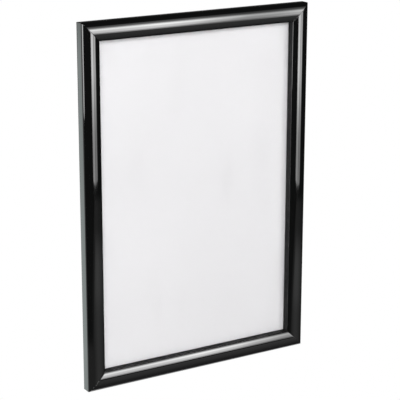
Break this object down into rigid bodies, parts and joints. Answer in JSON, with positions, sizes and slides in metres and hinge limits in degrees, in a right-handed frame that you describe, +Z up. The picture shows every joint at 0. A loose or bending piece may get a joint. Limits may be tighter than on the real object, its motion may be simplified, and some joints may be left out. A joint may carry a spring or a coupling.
{
  "type": "poster frame",
  "caption": "Gloss black mitred poster frame that holds clear glazing, a plain insert and a backing board, with turn buttons and ring hangers at the rear.",
  "frame": {"origin": "on the wall plane that the bumpers touch, behind the middle of the frame", "axes": "+X to the right as seen from the front, +Y into the wall, so the front faces -Y, +Z up"},
  "size_m": [0.46, 0.0293, 0.664],
  "materials": {
    "rail_black": "deep gloss black moulding",
    "glazing_clear": "clear acrylic sheet, smooth",
    "insert_white": "matte white paper",
    "backing_hardboard": "brown hardboard, smooth side out",
    "plate_steel": "zinc plated pressed steel",
    "ring_steel": "zinc plated steel wire",
    "screw_steel": "zinc plated, satin",
    "nail_steel": "hardened steel strip, dull",
    "bumper_rubber": "matte black rubber"
  },
  "bodies": {
    "frame": {"rail_top": "rail_black", "rail_bottom": "rail_black", "rail_left": "rail_black", "rail_right": "rail_black", "glazing": "glazing_clear", "insert_sheet": "insert_white", "backing_board": "backing_hardboard", "v_nail_top_left_1": "nail_steel", "v_nail_top_left_2": "nail_steel", "v_nail_top_right_1": "nail_steel", "v_nail_top_right_2": "nail_steel", "v_nail_bottom_left_1": "nail_steel", "v_nail_bottom_left_2": "nail_steel", "v_nail_bottom_right_1": "nail_steel", "v_nail_bottom_right_2": "nail_steel", "button_screw_top_left": "screw_steel", "button_screw_top_right": "screw_steel", "button_screw_bottom_left": "screw_steel", "button_screw_bottom_right": "screw_steel", "button_screw_left_upper": "screw_steel", "button_screw_left_lower": "screw_steel", "button_screw_right_upper": "screw_steel", "button_screw_right_lower": "screw_steel", "hanger_screw_left_upper": "screw_steel", "hanger_screw_left_lower": "screw_steel", "hanger_screw_right_upper": "screw_steel", "hanger_screw_right_lower": "screw_steel", "hanger_strap_left": "plate_steel", "hanger_strap_right": "plate_steel", "wall_bumper_left": "bumper_rubber", "wall_bumper_right": "bumper_rubber"},
    "button_top_left": {"turn_button_top_left": "plate_steel"},
    "button_top_right": {"turn_button_top_right": "plate_steel"},
    "button_bottom_left": {"turn_button_bottom_left": "plate_steel"},
    "button_bottom_right": {"turn_button_bottom_right": "plate_steel"},
    "button_left_upper": {"turn_button_left_upper": "plate_steel"},
    "button_left_lower": {"turn_button_left_lower": "plate_steel"},
    "button_right_upper": {"turn_button_right_upper": "plate_steel"},
    "button_right_lower": {"turn_button_right_lower": "plate_steel"},
    "ring_left": {"hanger_ring_left": "ring_steel"},
    "ring_right": {"hanger_ring_right": "ring_steel"}
  },
  "joints": [
    {"name": "turn_top_left", "type": "hinge", "parent": "frame", "child": "button_top_left", "pos_m": [-0.1, -0.0054, 0.319], "axis": [0, 1, 0], "continuous": true},
    {"name": "turn_top_right", "type": "hinge", "parent": "frame", "child": "button_top_right", "pos_m": [0.1, -0.0054, 0.319], "axis": [0, 1, 0], "continuous": true},
    {"name": "turn_bottom_left", "type": "hinge", "parent": "frame", "child": "button_bottom_left", "pos_m": [-0.1, -0.0054, -0.319], "axis": [0, 1, 0], "continuous": true},
    {"name": "turn_bottom_right", "type": "hinge", "parent": "frame", "child": "button_bottom_right", "pos_m": [0.1, -0.0054, -0.319], "axis": [0, 1, 0], "continuous": true},
    {"name": "turn_left_upper", "type": "hinge", "parent": "frame", "child": "button_left_upper", "pos_m": [-0.217, -0.0054, 0.13], "axis": [0, 1, 0], "continuous": true},
    {"name": "turn_left_lower", "type": "hinge", "parent": "frame", "child": "button_left_lower", "pos_m": [-0.217, -0.0054, -0.13], "axis": [0, 1, 0], "continuous": true},
    {"name": "turn_right_upper", "type": "hinge", "parent": "frame", "child": "button_right_upper", "pos_m": [0.217, -0.0054, 0.13], "axis": [0, 1, 0], "continuous": true},
    {"name": "turn_right_lower", "type": "hinge", "parent": "frame", "child": "button_right_lower", "pos_m": [0.217, -0.0054, -0.13], "axis": [0, 1, 0], "continuous": true},
    {"name": "swing_left", "type": "hinge", "parent": "frame", "child": "ring_left", "pos_m": [-0.217, -0.0035, 0.202], "axis": [1, 0, 0], "range_deg": [0, 185]},
    {"name": "swing_right", "type": "hinge", "parent": "frame", "child": "ring_right", "pos_m": [0.217, -0.0035, 0.202], "axis": [1, 0, 0], "range_deg": [0, 185]}
  ]
}
